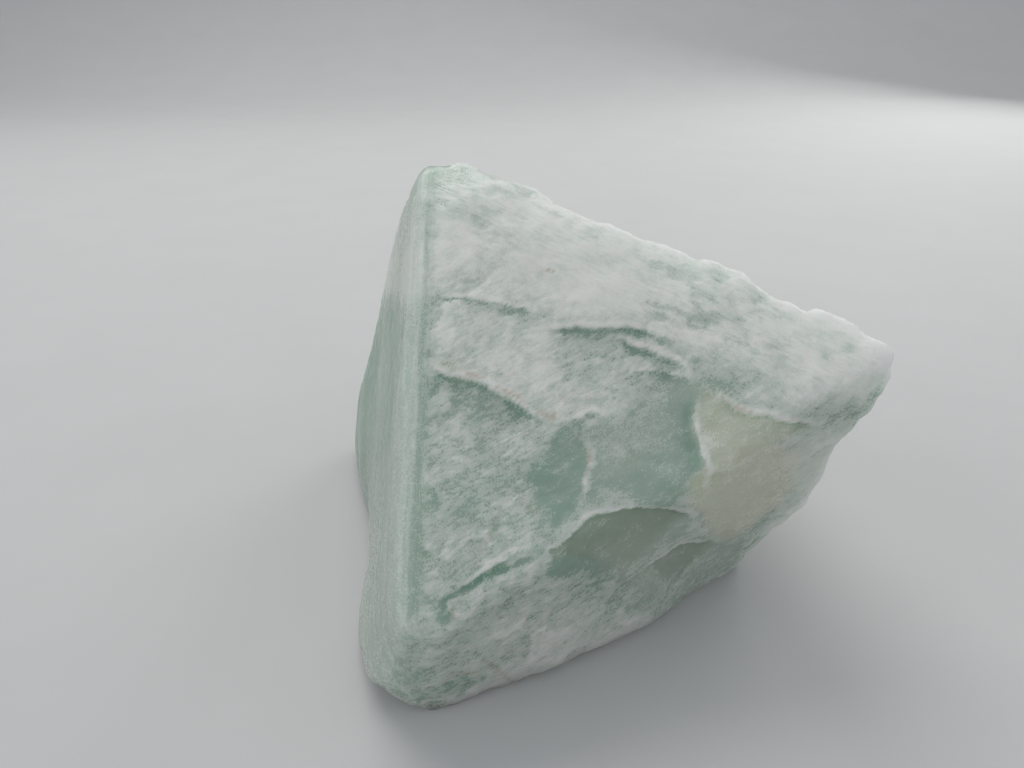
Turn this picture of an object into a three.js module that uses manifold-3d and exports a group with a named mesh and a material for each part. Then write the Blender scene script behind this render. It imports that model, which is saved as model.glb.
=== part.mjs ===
// A rough fluorite octahedron, palm sized, lying on its broken underside.
//
// Millimetres, +Z up. The crystal is built about its own centre on its cubic axes: +x runs to the near low
// corner, +y to the right hand tip and +z to the top corner. It is then leaned into the pose it rests in, broken
// off flat underneath, and set down with its origin at the middle of the base.
import * as THREE from "three";
import { mergeVertices } from "three/addons/utils/BufferGeometryUtils.js";
import Module from "manifold-3d";

const wasm = await Module();
wasm.setup();

// Driving dimensions
const EDGE = 55; // edge of the whole octahedron, before wear and breakage
const FACE_DISTANCE = EDGE / Math.sqrt(6); // centre to each face of the whole octahedron
const CENTRE_HEIGHT = 14.3; // centre of the octahedron above the surface it rests on

// Resting pose: the top corner leans left and a little forwards, and the body is spun about it
const LEAN = THREE.MathUtils.degToRad(26.4);
const SPIN = THREE.MathUtils.degToRad(-119.5);
const NOD = THREE.MathUtils.degToRad(-9.9);

// Cutting blocks
const BLOCK = 6 * EDGE; // side of the block that stands for everything beyond a plane
const CHIP_HEADROOM = 6; // how far a chip's cutter stands above the face it cuts
const LEDGE_SLOPE = Math.tan(THREE.MathUtils.degToRad(19.47)); // ledges follow the other cleavage planes

// Colour and finish
const PALE_SEA_GREEN = 0xb9cfc4;
const FROSTED = 0.45;

// The eight octahedral faces. growth is how far each stands beyond the regular octahedron, and along is the
// direction of the face's own u axis on the cubic axes; its v axis is square to u within the face.
const FACES = {
  front: { normal: [1, 1, 1], along: [-1, 2, -1], growth: 1.2 },
  left: { normal: [1, -1, 1], along: [1, 1, 0], growth: 0.0 },
  lower: { normal: [1, 1, -1], along: [-1, 1, 0], growth: 0.5 },
  crown: { normal: [-1, 1, 1], along: [0, 1, -1], growth: 1.4 },
  rearLeft: { normal: [-1, -1, 1], along: [1, -1, 0], growth: 5.6 },
  underLeft: { normal: [1, -1, -1], along: [1, 1, 0], growth: 6.0 },
  rightRear: { normal: [-1, 1, -1], along: [-1, -1, 0], growth: 0.6 },
  underRear: { normal: [-1, -1, -1], along: [1, -1, 0], growth: 0.4 },
};

// Worn corners and edges: the direction each is worn from, and how far from the centre the wear stops
const WORN = {
  topCorner: { normal: [-0.15, -0.15, 1], reach: 34.6 },
  rightTip: { normal: [0.06, 1, 0.02], reach: 39.5 },
  nearCorner: { normal: [1, 0, -0.08], reach: 35.0 },
  nearCornerFront: { normal: [1, 0.3, 0.25], reach: 33.6 },
  nearCornerLower: { normal: [1, 0.3, -0.35], reach: 32.8 },
  leftCorner: { normal: [-0.04, -1, 0], reach: 37.6 },
  rearCorner: { normal: [-1, 0.1, 0.06], reach: 33.5 },
  leftEdge: { normal: [1, -0.12, 1], reach: 26.9 },
  leftShoulder: { normal: [0.1, -0.8, 1], reach: 30.8 },
  crownEdge: { normal: [0.05, 1, 1.05], reach: 28.7 },
  ridgeEdge: { normal: [-1, 0.04, 1], reach: 29.0 },
  rightEdge: { normal: [-1, 1.05, 0.02], reach: 27.2 },
  lowEdge: { normal: [0.5, 0.7, -1], reach: 24.1 },
};

// Chips broken out of each face, in the face's own u, v and depth below it. The rim runs round the chip, and
// each rim point has the depth of the ledge there, 0 where the chip runs out to the face. floor is a point of the
// chip's floor, inside the rim.
const CHIPS = {
  front: [
    // shelf below the thin step, left of the middle
    {
      floor: [-2.5, 1.5, 1.0],
      rim: [
        [-12.2, 7.2, 0.3], [-7.8, 6.9, 0.6], [-3.7, 6.4, 0.8], [-0.6, 5.4, 1.0], [0.6, 3.6, 1.0],
        [0.2, -3.0, 0.8], [-1.0, -6.0, 0.6], [-6.0, -3.4, 0.4], [-12.0, -0.2, 0.1],
      ],
    },
    // notch under the stained ledge
    {
      floor: [-4.6, -6.6, 1.7],
      rim: [
        [-11.6, -0.4, 0.4], [-8.6, -1.8, 1.1], [-5.7, -3.1, 1.7], [-3.3, -4.5, 2.0], [-0.9, -6.0, 2.2],
        [0.8, -8.2, 1.7], [-0.6, -12.6, 1.0], [-4.6, -15.4, 0.2], [-9.0, -14.0, 0], [-12.6, -9.5, 0],
        [-13.0, -3.0, 0],
      ],
    },
    // hollow under the upper overhang
    {
      floor: [5.0, -1.2, 1.4],
      rim: [
        [0.2, 3.8, 1.0], [5.0, 3.1, 1.1], [6.7, 3.8, 1.0], [10.3, 2.6, 0.9], [11.6, 1.2, 0.6],
        [13.4, -3.0, 0.9], [8.5, -4.4, 1.6], [4.3, -5.8, 1.5], [0.0, -6.6, 1.3], [-0.8, -2.0, 1.0],
      ],
    },
    // second ledge inside that hollow
    {
      floor: [9.0, -3.0, 2.1],
      rim: [
        [5.2, 2.3, 1.8], [7.8, 1.4, 2.1], [9.7, 0.2, 2.1], [12.8, -2.1, 2.0], [13.5, -3.6, 1.9],
        [12.7, -7.4, 2.1], [8.0, -6.4, 2.1], [4.3, -5.6, 1.7], [3.4, -1.2, 1.4],
      ],
    },
    // smooth facet in the middle
    {
      floor: [7.4, -10.4, 2.2],
      rim: [
        [0.0, -6.7, 1.5], [4.3, -5.7, 1.8], [8.5, -4.6, 2.1], [12.9, -5.2, 2.1], [12.6, -7.6, 2.0],
        [13.3, -10.7, 2.0], [11.3, -13.7, 2.2], [11.3, -17.2, 2.4], [7.0, -17.4, 2.3], [2.8, -17.2, 1.9],
        [1.9, -13.3, 1.4], [2.7, -9.7, 1.4],
      ],
    },
    // green facet left of the stained curve
    {
      floor: [0.2, -10.8, 1.5],
      rim: [
        [-0.3, -6.6, 2.0], [1.9, -7.8, 1.6], [2.7, -9.7, 1.6], [2.4, -11.6, 1.5], [1.7, -13.6, 1.3],
        [0.8, -16.8, 1.0], [-2.2, -17.6, 0.6], [-4.4, -13.4, 0.3], [-2.6, -9.4, 1.2],
      ],
    },
    // long crack along the lower edge
    {
      floor: [-5.4, -20.3, 1.5],
      rim: [
        [-12.0, -24.3, 0.2], [-8.9, -22.3, 0.9], [-5.8, -20.9, 1.2], [-2.2, -19.1, 1.0], [-0.4, -17.6, 0.3],
        [-1.8, -17.5, 0.9], [-5.5, -19.4, 1.3], [-8.6, -21.0, 1.0],
      ],
    },
    // sloping facet below the right hand tip
    {
      floor: [18.0, -9.4, 1.3],
      rim: [
        [13.4, -4.2, 0.6], [15.5, -4.6, 0.7], [17.6, -5.5, 0.8], [21.1, -6.5, 0.8], [27.9, -6.6, 0.7],
        [28.4, -9.0, 1.0], [23.0, -14.0, 1.6], [17.0, -17.0, 2.0], [11.4, -16.0, 2.2], [11.4, -13.8, 1.6],
        [13.5, -10.7, 1.4], [12.7, -7.5, 1.0],
      ],
    },
    // shallow scoops in the frosted upper face
    {
      floor: [-6.0, 14.0, 0.5],
      rim: [
        [-11.5, 17.5, 0], [-5.5, 19.0, 0.3], [-1.6, 14.6, 0.5], [-2.6, 9.0, 0.3], [-8.0, 8.8, 0],
        [-11.8, 12.0, 0],
      ],
    },
    {
      floor: [6.8, 8.4, 0.7],
      rim: [
        [0.2, 9.8, 0.6], [4.4, 11.6, 0.4], [10.6, 10.4, 0.2], [13.4, 6.4, 0.4], [9.0, 4.8, 0],
        [2.4, 5.2, 0.2],
      ],
    },
    {
      floor: [17.4, 1.4, 0.6],
      rim: [[13.6, 5.0, 0.4], [18.8, 5.4, 0.3], [24.0, 1.4, 0], [20.4, -3.2, 0], [15.4, -2.2, 0.5]],
    },
  ],
  lower: [
    // deep green facet under the front edge
    {
      floor: [-3.4, 14.6, 1.4],
      rim: [
        [-9.0, 21.0, 0.5], [-5.5, 20.9, 1.6], [-3.0, 19.2, 1.9], [-1.0, 17.8, 1.9], [0.6, 15.8, 1.7],
        [3.9, 10.9, 1.2], [1.2, 8.0, 0.2], [-2.6, 7.6, 0], [-8.4, 9.6, 0], [-10.6, 14.6, 0.4],
      ],
    },
    // second facet, down towards the base
    {
      floor: [3.6, 1.4, 1.0],
      rim: [
        [0.6, 7.2, 0.9], [2.4, 7.0, 1.2], [4.6, 5.4, 1.3], [9.0, 1.0, 1.2], [12.0, -9.0, 1.0],
        [2.0, -12.0, 0.6], [-3.6, -6.0, 0], [-2.0, 2.0, 0],
      ],
    },
    // small bite below the right hand tip
    {
      floor: [21.0, 4.0, 0.8],
      rim: [[17.8, 6.0, 0], [20.5, 7.4, 0.3], [24.0, 5.4, 1.2], [22.0, 0.6, 1.0], [18.2, 1.8, 0]],
    },
    // low facets by the near corner
    {
      floor: [-18.4, 3.2, 0.7],
      rim: [
        [-23.2, 7.6, 0.6], [-17.6, 7.4, 0.9], [-13.0, 3.4, 0.3], [-14.0, -6.0, 0.2], [-22.0, -6.0, 0.4],
      ],
    },
    {
      floor: [-14.8, 13.0, 0.8],
      rim: [
        [-20.6, 16.4, 0.2], [-14.0, 18.2, 0.6], [-10.4, 15.0, 0.4], [-11.4, 9.6, 0], [-18.0, 9.2, 0.2],
      ],
    },
  ],
  left: [
    // hollow low on the streaked face
    {
      floor: [-7.0, -16.0, 1.5],
      rim: [
        [2.0, -21.0, 0.1], [0.0, -14.0, 0], [-4.0, -8.0, 0.2], [-10.0, -7.0, 0.6], [-15.0, -12.0, 0.4],
        [-16.0, -18.0, 0.3], [-8.0, -24.0, 2.2], [-3.0, -24.0, 1.4],
      ],
    },
    // shallow step across the upper part
    {
      floor: [1.8, 10.8, 0.5],
      rim: [
        [11.4, 13.6, 0.2], [4.4, 15.6, 0.7], [-2.0, 13.4, 0.6], [-5.0, 4.0, 0], [3.0, 2.0, 0],
        [10.8, 5.0, 0.1],
      ],
    },
    {
      floor: [-14.0, 2.2, 0.9],
      rim: [
        [-8.0, 6.4, 0.3], [-15.4, 9.2, 1.2], [-22.0, 3.4, 0.8], [-18.0, -4.0, 0.4], [-9.4, -4.6, 0],
      ],
    },
  ],
  crown: [
    // bites out of the long edge above the front face
    {
      floor: [-6.8, -13.4, 1.3],
      rim: [
        [-13.0, -19.0, 0.8], [-8.0, -19.6, 1.5], [-2.0, -19.6, 1.6], [1.4, -15.6, 0.5], [-2.0, -6.0, 0],
        [-9.0, -7.0, 0.1],
      ],
    },
    {
      floor: [15.4, -14.4, 0.9],
      rim: [
        [12.4, -19.0, 0.7], [18.4, -19.0, 1.1], [19.6, -13.0, 0.4], [15.0, -8.6, 0], [11.8, -12.0, 0.1],
      ],
    },
    // hollows in the face behind it
    {
      floor: [2.6, -5.4, 1.3],
      rim: [
        [-12.0, -5.4, 0], [-4.0, -8.6, 0.8], [6.0, -10.4, 1.2], [12.0, -6.0, 1.1], [8.0, 2.0, 0.4],
        [-2.0, 4.0, 0], [-10.0, 0.0, 0],
      ],
    },
    {
      floor: [0.8, 11.2, 1.5],
      rim: [
        [-9.0, 4.4, 0.2], [0.0, 5.6, 1.3], [7.4, 9.4, 1.5], [5.0, 19.6, 0.7], [-3.6, 18.4, 0.2],
        [-8.4, 10.6, 0],
      ],
    },
    {
      floor: [11.4, 5.0, 1.0],
      rim: [[7.8, 1.6, 0.8], [14.0, -3.6, 0.9], [17.6, -0.4, 1.4], [11.6, 11.0, 0.9], [8.2, 8.8, 0.2]],
    },
  ],
  rearLeft: [
    {
      floor: [0.0, 8.6, 1.3],
      rim: [
        [-6.0, 14.0, 1.0], [3.0, 15.4, 1.3], [7.4, 6.4, 0.9], [3.2, -2.0, 0], [-5.0, -1.2, 0.3],
        [-9.2, 6.0, 0.6],
      ],
    },
    {
      floor: [11.0, -6.8, 1.5],
      rim: [
        [7.6, -1.4, 1.5], [14.4, -2.6, 1.2], [21.0, -11.6, 0.6], [10.2, -14.4, 0.2], [3.6, -8.8, 0.6],
      ],
    },
    {
      floor: [-9.4, -8.0, 1.3],
      rim: [
        [-16.0, -5.6, 1.1], [-7.0, -3.8, 1.4], [-1.6, -9.6, 1.1], [-8.0, -15.6, 0], [-20.4, -14.2, 0.2],
      ],
    },
    {
      floor: [-1.6, 20.2, 0.8],
      rim: [[-5.4, 18.2, 0.2], [0.4, 17.0, 0], [3.4, 20.4, 1.0], [-1.0, 26.0, 1.2]],
    },
  ],
  underLeft: [
    {
      floor: [4.0, 6.0, 1.2],
      rim: [[-6.0, 8.0, 0.2], [4.0, 12.4, 1.2], [13.0, 9.6, 1.0], [12.0, 0.0, 0.8], [-2.0, -2.0, 0.6]],
    },
  ],
  rightRear: [
    {
      floor: [-4.0, 9.4, 1.3],
      rim: [[-15.0, 12.2, 0.6], [-4.4, 13.6, 1.3], [4.0, 10.4, 1.1], [2.0, 3.0, 0], [-8.4, 4.0, 0.2]],
    },
    {
      floor: [10.4, 8.4, 1.4],
      rim: [[5.8, 12.4, 1.3], [15.0, 13.4, 1.2], [18.6, 8.0, 0.3], [10.2, 0.0, 0], [4.8, 5.0, 0.7]],
    },
    {
      floor: [-6.2, -3.4, 1.2],
      rim: [
        [-12.6, 2.2, 1.0], [-5.0, 0.6, 1.3], [0.6, -7.6, 0.9], [-6.0, -14.0, 0.4], [-11.4, -8.0, 0.2],
      ],
    },
  ],
  underRear: [
    {
      floor: [-2.0, 8.4, 1.3],
      rim: [[-12.4, 11.8, 0.4], [-3.0, 13.6, 1.3], [6.0, 11.0, 1.2], [4.4, 3.0, 0.2], [-7.0, 1.6, 0]],
    },
    {
      floor: [14.0, 9.0, 1.2],
      rim: [[8.4, 13.0, 1.0], [17.0, 13.8, 1.2], [20.6, 8.6, 0.6], [12.0, 1.4, 0], [7.4, 6.4, 0.5]],
    },
    {
      floor: [-15.0, 10.4, 1.1],
      rim: [
        [-21.0, 13.6, 1.2], [-14.0, 14.2, 0.8], [-10.8, 8.4, 0.6], [-15.6, 3.0, 0.8], [-19.6, 8.0, 1.0],
      ],
    },
  ],
};

// A closed three.js geometry as a solid that can be joined and cut.
function solidOf(geometry) {
  const bare = geometry.clone();
  bare.deleteAttribute("normal");
  bare.deleteAttribute("uv");
  const merged = mergeVertices(bare, 1e-4);
  return new wasm.Manifold(
    new wasm.Mesh({
      numProp: 3,
      vertProperties: merged.getAttribute("position").array,
      triVerts: new Uint32Array(merged.index.array),
    }),
  );
}

// A solid as a three.js geometry with flat facets.
function geometryOf(solid) {
  const mesh = solid.getMesh();
  const indexed = new THREE.BufferGeometry();
  indexed.setAttribute("position", new THREE.BufferAttribute(mesh.vertProperties, mesh.numProp));
  indexed.setIndex(new THREE.BufferAttribute(mesh.triVerts, 1));
  const flat = indexed.toNonIndexed();
  flat.computeVertexNormals();
  return flat;
}

// Everything beyond the plane that is square to normal, at that reach from the centre.
function beyond(normal, reach) {
  const direction = new THREE.Vector3(...normal).normalize();
  const turn = new THREE.Quaternion().setFromUnitVectors(new THREE.Vector3(0, 0, 1), direction);
  const place = new THREE.Matrix4().compose(
    direction.clone().multiplyScalar(reach + BLOCK / 2),
    turn,
    new THREE.Vector3(1, 1, 1),
  );
  return solidOf(new THREE.BoxGeometry(BLOCK, BLOCK, BLOCK).applyMatrix4(place));
}

// The frame of a face: u, v and the outward normal, with its origin at the foot of the normal from the centre.
function frameOf({ normal, along, growth }) {
  const n = new THREE.Vector3(...normal).normalize();
  const u = new THREE.Vector3(...along).normalize();
  const v = new THREE.Vector3().crossVectors(n, u);
  const foot = n.clone().multiplyScalar(FACE_DISTANCE + growth);
  return new THREE.Matrix4().makeBasis(u, v, n).setPosition(foot);
}

// The solid that breaks one chip out of a face: a fan of facets from the floor point to the rim, with the ledge
// walls leaning inwards and the top standing clear of the face.
function chipCutter({ floor, rim }, frame) {
  const [u0, v0, floorDepth] = floor;
  const turnsLeft = THREE.ShapeUtils.area(rim.map(([u, v]) => new THREE.Vector2(u, v))) > 0;
  const ring = turnsLeft ? rim : [...rim].reverse();
  const upper = ring.map(([u, v]) => new THREE.Vector3(u, v, CHIP_HEADROOM));
  const lower = ring.map(([u, v, depth]) => {
    const inwards = new THREE.Vector2(u0 - u, v0 - v).setLength(depth * LEDGE_SLOPE);
    return new THREE.Vector3(u + inwards.x, v + inwards.y, -depth);
  });
  const lid = new THREE.Vector3(u0, v0, CHIP_HEADROOM);
  const pit = new THREE.Vector3(u0, v0, -floorDepth);
  const corners = [];
  ring.forEach((_, i) => {
    const j = (i + 1) % ring.length;
    corners.push(lid, upper[i], upper[j]);
    corners.push(upper[i], lower[i], lower[j], upper[i], lower[j], upper[j]);
    corners.push(pit, lower[j], lower[i]);
  });
  return solidOf(new THREE.BufferGeometry().setFromPoints(corners).applyMatrix4(frame));
}

// The whole octahedron, each face at its own distance, with its worn corners and edges.
function wornOctahedron() {
  const mostGrowth = Math.max(...Object.values(FACES).map((face) => face.growth));
  const corner = (FACE_DISTANCE + mostGrowth) * Math.sqrt(3);
  let body = solidOf(new THREE.OctahedronGeometry(corner));
  for (const { normal, growth } of Object.values(FACES)) {
    body = body.subtract(beyond(normal, FACE_DISTANCE + growth));
  }
  for (const { normal, reach } of Object.values(WORN)) {
    body = body.subtract(beyond(normal, reach));
  }
  return body;
}

// The crystal with its chips broken out, still on its cubic axes.
function chippedCrystal() {
  let body = wornOctahedron();
  for (const [name, chips] of Object.entries(CHIPS)) {
    const frame = frameOf(FACES[name]);
    for (const chip of chips) {
      body = body.subtract(chipCutter(chip, frame));
    }
  }
  return body;
}

// The crystal in its resting pose, broken off flat at the surface it lies on, with its origin under its middle.
function restingCrystal() {
  const pose = new THREE.Matrix4()
    .makeTranslation(0, 0, CENTRE_HEIGHT)
    .multiply(new THREE.Matrix4().makeRotationX(NOD))
    .multiply(new THREE.Matrix4().makeRotationY(-LEAN))
    .multiply(new THREE.Matrix4().makeRotationZ(SPIN));
  const posed = geometryOf(chippedCrystal()).applyMatrix4(pose);
  const rested = geometryOf(solidOf(posed).subtract(beyond([0, 0, -1], 0)));
  rested.computeBoundingBox();
  const middle = rested.boundingBox.getCenter(new THREE.Vector3());
  return rested.translate(-middle.x, -middle.y, -rested.boundingBox.min.z);
}

const crystal = new THREE.Mesh(
  restingCrystal(),
  new THREE.MeshStandardMaterial({ color: PALE_SEA_GREEN, roughness: FROSTED, metalness: 0 }),
);
crystal.name = "fluorite_crystal";

const specimen = new THREE.Group();
specimen.add(crystal);

export default specimen;
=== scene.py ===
"""A rough fluorite octahedron: sea green, milky and frosted, with stepped cleavage faces and worn edges."""

import itertools
import math

import bpy
import bmesh
import numpy as np
from mathutils import Matrix, Vector, noise


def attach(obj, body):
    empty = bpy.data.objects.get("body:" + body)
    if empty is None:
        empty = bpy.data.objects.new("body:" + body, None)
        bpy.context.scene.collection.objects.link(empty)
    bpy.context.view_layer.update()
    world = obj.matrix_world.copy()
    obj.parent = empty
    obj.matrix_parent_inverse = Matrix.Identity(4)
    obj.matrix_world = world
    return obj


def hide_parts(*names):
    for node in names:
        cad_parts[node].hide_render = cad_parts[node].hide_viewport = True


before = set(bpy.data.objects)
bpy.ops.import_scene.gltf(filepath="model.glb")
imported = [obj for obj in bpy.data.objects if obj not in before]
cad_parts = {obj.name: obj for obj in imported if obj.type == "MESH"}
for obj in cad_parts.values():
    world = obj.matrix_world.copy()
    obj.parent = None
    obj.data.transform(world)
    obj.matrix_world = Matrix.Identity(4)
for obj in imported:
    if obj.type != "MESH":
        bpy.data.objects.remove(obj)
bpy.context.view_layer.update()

MM = 0.001  # the sizes below are in millimetres

# The crystal's own axes: its centre in the part's frame, and how it is turned there
EDGE = 55.0
FACE_DISTANCE = EDGE / math.sqrt(6)
CENTRE = np.array((-0.224, -1.188, 14.3))
LEAN, SPIN, NOD = 26.4, -119.5, -9.9

# Each face's outward normal, the direction of its u axis, and how far it stands beyond the regular octahedron
FACES = {
    "front": ((1, 1, 1), (-1, 2, -1), 1.2),
    "left": ((1, -1, 1), (1, 1, 0), 0.0),
    "lower": ((1, 1, -1), (-1, 1, 0), 0.5),
    "crown": ((-1, 1, 1), (0, 1, -1), 1.4),
    "rear_left": ((-1, -1, 1), (1, -1, 0), 5.6),
    "under_left": ((1, -1, -1), (1, 1, 0), 6.0),
    "right_rear": ((-1, 1, -1), (-1, -1, 0), 0.6),
    "under_rear": ((-1, -1, -1), (1, -1, 0), 0.4),
}

# The surface
GRAIN = 0.395  # spacing of the surface's points
BASE_RISE = 0.06  # points lower than this belong to the flat underside
SEED = 7  # of the flakes and the drifting noise
noise.seed_set(SEED)

# The view
CAMERA_FROM_CENTRE = (-6.0, -84.0)
CAMERA_HEIGHT = 62.5
CAMERA_PITCH = 26.0
FOCAL_PIXELS = 773.0
IMAGE_WIDTH = 1024
SENSOR = 36.0


# Arrays over the surface


def unit(vector):
    vector = np.asarray(vector, float)
    return vector / np.linalg.norm(vector)


def smooth(low, high, values):
    t = np.clip((values - low) / (high - low), 0, 1)
    return t * t * (3 - 2 * t)


def turned():
    """The rotation from the crystal's axes to the part's."""
    nod = Matrix.Rotation(math.radians(NOD), 3, "X")
    lean = Matrix.Rotation(math.radians(-LEAN), 3, "Y")
    spin = Matrix.Rotation(math.radians(SPIN), 3, "Z")
    return np.array(nod @ lean @ spin)


def clouds(points, size, octaves=3, shift=0.0):
    """Cloudy noise, about -1 to 1, whose largest lumps are of that size."""
    places = (points / size + shift).tolist()
    return np.array([noise.fractal(place, 1.0, 2.0, octaves) for place in places])


def drift(points, size, shift=0.0):
    """A cloudy noise of vectors."""
    places = (points / size + shift).tolist()
    return np.array([noise.noise_vector(place) for place in places])


def flakes(points, size, seed):
    """Cells whose walls follow the cleavage planes, each of them a tilted plate.

    Gives the height of the plate at each point, about -1 to 1, and how far away its wall is.
    """
    span = 48  # cells before the pattern repeats
    table = np.random.default_rng(SEED + seed).random((span, span, span, 7))
    home = np.floor(points / size).astype(int)
    nearest = np.full(len(points), np.inf)
    second = nearest.copy()
    plate = np.zeros(len(points))
    for step in itertools.product((-1, 0, 1), repeat=3):
        cell = home + step
        draw = table[tuple((cell % span).T)]
        away = points / size - (cell + draw[:, :3])
        distance = np.abs(away).sum(axis=1)
        tilt = draw[:, 3:6] * 2 - 1
        height = (draw[:, 6] - 0.5) * 1.2 + (away * tilt).sum(axis=1) * 0.9
        closer = distance < nearest
        second = np.where(closer, nearest, np.minimum(second, distance))
        plate = np.where(closer, height, plate)
        nearest = np.where(closer, distance, nearest)
    return plate, second - nearest


class Skin:
    """The crystal's surface: its points in millimetres on the crystal's own axes."""

    def __init__(self, mesh):
        self.mesh = mesh
        count = len(mesh.vertices)
        co = np.empty(count * 3)
        mesh.vertices.foreach_get("co", co)
        self.rotation = turned()
        self.points = (co.reshape(-1, 3) / MM - CENTRE) @ self.rotation
        ends = np.empty(len(mesh.edges) * 2, int)
        mesh.edges.foreach_get("vertices", ends)
        self.start, self.end = ends.reshape(-1, 2).T
        self.degree = np.bincount(ends, minlength=count).astype(float)

    def height(self):
        """Height above the surface that the crystal rests on."""
        return self.points @ self.rotation[2] + CENTRE[2]

    def spread(self, values, rounds):
        """values, averaged over their neighbours again and again."""
        values = np.array(values, float)
        for _ in range(rounds):
            columns = values.reshape(len(values), -1).T
            total = [
                np.bincount(self.start, column[self.end], len(column))
                + np.bincount(self.end, column[self.start], len(column))
                for column in columns
            ]
            mean = (np.array(total) / self.degree).T.reshape(values.shape)
            values = values * 0.4 + mean * 0.6
        return values

    def soften(self, share, rounds):
        """Moves the points, by their share, to where their neighbours average out."""
        self.points += share[:, None] * (self.spread(self.points, rounds) - self.points)

    def store(self):
        co = (self.points @ self.rotation.T + CENTRE) * MM
        self.mesh.vertices.foreach_set("co", co.ravel())
        self.mesh.update()

    def normals(self):
        self.store()
        flat = np.empty(len(self.points) * 3)
        self.mesh.vertex_normals.foreach_get("vector", flat)
        return flat.reshape(-1, 3) @ self.rotation

    def bulge(self, rounds):
        """How far each point stands out from its surroundings, in millimetres. Hollows are below 0."""
        return ((self.points - self.spread(self.points, rounds)) * self.normals()).sum(axis=1)

    def paint(self, name, values):
        values = np.asarray(values, np.float32)
        kind, key = ("FLOAT", "value") if values.ndim == 1 else ("FLOAT_VECTOR", "vector")
        layer = self.mesh.attributes.new(name, kind, "POINT")
        layer.data.foreach_set(key, values.ravel())


class Face:
    """One octahedral face: how far above it each point lies, and the point's place on it.

    On a face that the camera sees, that is where the line of sight to the point meets the face.
    """

    def __init__(self, name, points):
        normal, along, growth = FACES[name]
        n, u = unit(normal), unit(along)
        v = np.cross(n, u)
        self.level = points @ n - FACE_DISTANCE - growth
        eye = turned().T @ (*CAMERA_FROM_CENTRE, CAMERA_HEIGHT - CENTRE[2])
        sight = points - eye
        depth = (FACE_DISTANCE + growth - n @ eye) / (sight @ n)
        on_face = points if n @ eye < FACE_DISTANCE + growth else eye + depth[:, None] * sight
        self.place = np.stack([on_face @ u, on_face @ v], axis=1)

    def outline(self, outline):
        """Signed distance to a closed outline on the face, below 0 inside it."""
        corners = np.array(outline, float)
        away = np.full(len(self.place), np.inf)
        inside = np.zeros(len(self.place), bool)
        x, y = self.place.T
        for (ax, ay), (bx, by) in zip(corners, np.roll(corners, -1, axis=0)):
            away = np.minimum(away, np.abs(self.line([(ax, ay), (bx, by)])[0]))
            crosses = (ay > y) != (by > y)
            inside ^= crosses & (x < (bx - ax) * (y - ay) / (by - ay + 1e-9) + ax)
        return np.where(inside, -away, away)

    def line(self, path):
        """Distance to a line, above 0 on its right hand side, and the length of line to its nearer end."""
        corners = np.array(path, float)
        away = np.full(len(self.place), np.inf)
        so_far = np.zeros(len(self.place))
        length = 0.0
        for a, b in zip(corners, corners[1:]):
            run = b - a
            size = np.linalg.norm(run)
            off = self.place - a
            t = np.clip(off @ run / size**2, 0, 1)
            gap = np.linalg.norm(off - t[:, None] * run, axis=1)
            side = np.where(run[1] * off[:, 0] - run[0] * off[:, 1] > 0, 1, -1)
            closer = gap < np.abs(away)
            away = np.where(closer, gap * side, away)
            so_far = np.where(closer, length + t * size, so_far)
            length += size
        return away, np.minimum(so_far, length - so_far)


# The crystal's skin


def joined(node):
    """The node's shape with its faces joined along their edges."""
    plain = bmesh.new()
    plain.from_mesh(node.data)
    bmesh.ops.remove_doubles(plain, verts=plain.verts, dist=0.001 * MM)
    mesh = bpy.data.meshes.new("plain_crystal")
    plain.to_mesh(mesh)
    plain.free()
    return mesh


def evenly_faced(mesh):
    """The mesh's shape, covered evenly with small faces."""
    blank = bpy.data.objects.new("blank", mesh)
    bpy.context.scene.collection.objects.link(blank)
    remesh = blank.modifiers.new("even faces", "REMESH")
    remesh.mode = "VOXEL"
    remesh.voxel_size = GRAIN * MM
    ready = blank.evaluated_get(bpy.context.evaluated_depsgraph_get())
    fine = bpy.data.meshes.new_from_object(ready)
    bpy.data.objects.remove(blank)
    bpy.data.meshes.remove(mesh)
    fine.name = "fluorite_skin"
    fine.materials.clear()
    return fine


# The grain: the edge that flakes are drawn out along, and how strongly they and the finest marks are
GRAINS = {
    "rise": ((-1, 1, 0), 0.4, 0.7),
    "fall": ((0, 1, -1), 0.45, 0.8),
    "drop": ((-1, 0, 1), 0.93, 0.95),
}
GROWTH_LINES = 0.985  # how strongly the growth lines of the left face are drawn out along its grain

# How much each broad face is evened out
EASED = {"front": 0.9, "lower": 0.75, "left": 0.8}

# Depths below a face between which the marks on it fade out
MARK_DEPTH = (-4.5, -2.5)
LEDGE_DEPTH = (-5.0, -2.5)
RIM_DEPTH = (-6.0, -3.5)
BEVEL_SIDE = (-12.0, -13.5)  # where the bevel along the left edge starts, on the front face's u axis

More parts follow.
